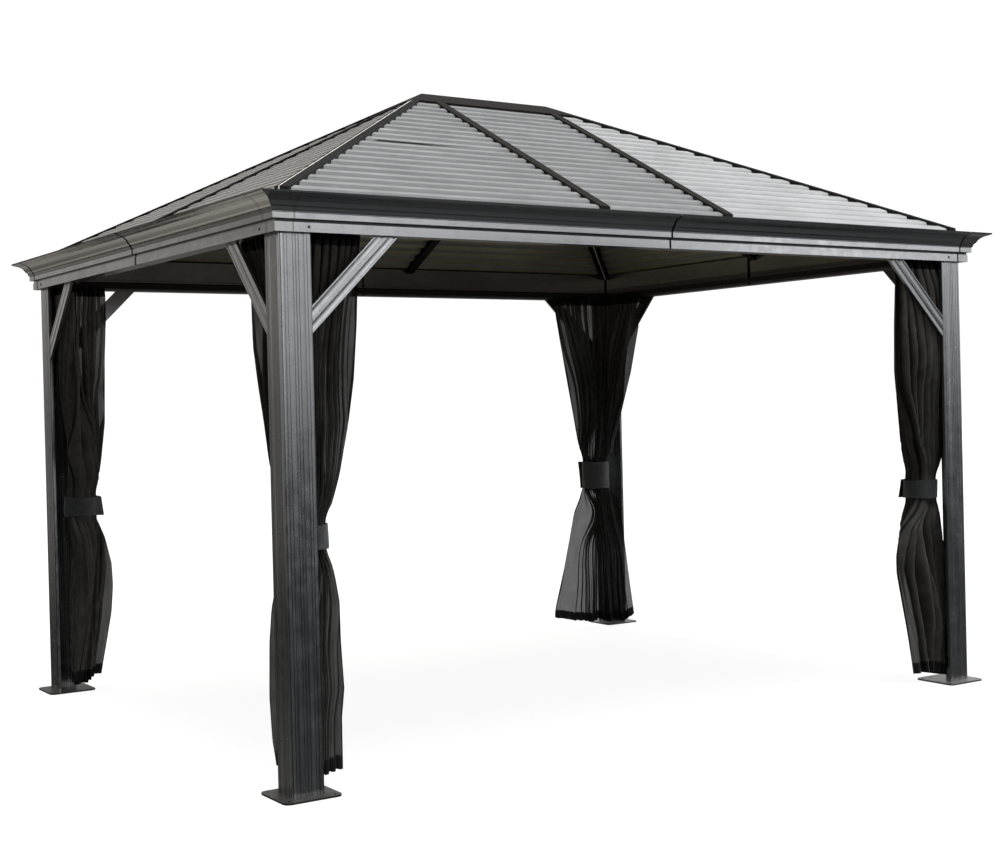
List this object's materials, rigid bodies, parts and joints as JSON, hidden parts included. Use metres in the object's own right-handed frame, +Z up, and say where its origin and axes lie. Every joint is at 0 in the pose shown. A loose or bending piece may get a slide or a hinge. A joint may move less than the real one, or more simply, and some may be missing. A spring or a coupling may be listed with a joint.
{
  "type": "metal gazebo",
  "caption": "Open hard-top metal gazebo with L-section posts, moulded cornice, hipped roof of ribbed steel panels and tied-back corner nets.",
  "frame": {"origin": "on the ground, at the centre of the footprint", "axes": "+X along the long side to the right seen from the front, +Y from the front to the back, +Z up"},
  "size_m": [3.614, 2.924, 2.755],
  "materials": {
    "post_finish": "satin powder coat, charcoal grey",
    "plate_finish": "satin powder coat, grey",
    "cornice_finish": "satin powder coat, charcoal grey",
    "rail_finish": "black powder coat",
    "roof_frame_finish": "dark bronze powder coat",
    "roof_sheet": "satin grey coated steel",
    "net_fabric": "black woven mosquito mesh",
    "strap_fabric": "black plain-woven strap"
  },
  "bodies": {
    "root": {"post_front_left": "post_finish", "post_front_right": "post_finish", "post_back_left": "post_finish", "post_back_right": "post_finish", "base_plates": "plate_finish", "corner_braces": "post_finish", "beam_front_left": "cornice_finish", "beam_front_right": "cornice_finish", "beam_back_left": "cornice_finish", "beam_back_right": "cornice_finish", "beam_left_front": "cornice_finish", "beam_left_back": "cornice_finish", "beam_right_front": "cornice_finish", "beam_right_back": "cornice_finish", "corner_cap_front_left": "cornice_finish", "corner_cap_front_right": "cornice_finish", "corner_cap_back_left": "cornice_finish", "corner_cap_back_right": "cornice_finish", "beam_splices": "rail_finish", "curtain_rails": "rail_finish", "hip_rafter_front_left": "roof_frame_finish", "hip_rafter_front_right": "roof_frame_finish", "hip_rafter_back_left": "roof_frame_finish", "hip_rafter_back_right": "roof_frame_finish", "rafters_front": "roof_frame_finish", "rafters_back": "roof_frame_finish", "rafter_left": "roof_frame_finish", "rafter_right": "roof_frame_finish", "ridge_beam": "roof_frame_finish", "ridge_cap": "roof_frame_finish", "roof_panel_front_left": "roof_sheet", "roof_panel_front_middle": "roof_sheet", "roof_panel_front_right": "roof_sheet", "roof_panel_back_left": "roof_sheet", "roof_panel_back_middle": "roof_sheet", "roof_panel_back_right": "roof_sheet", "roof_panel_left_front": "roof_sheet", "roof_panel_left_back": "roof_sheet", "roof_panel_right_front": "roof_sheet", "roof_panel_right_back": "roof_sheet", "net_front_left": "net_fabric", "net_front_right": "net_fabric", "net_back_left": "net_fabric", "net_back_right": "net_fabric", "net_ties": "strap_fabric"}
  },
  "joints": []
}
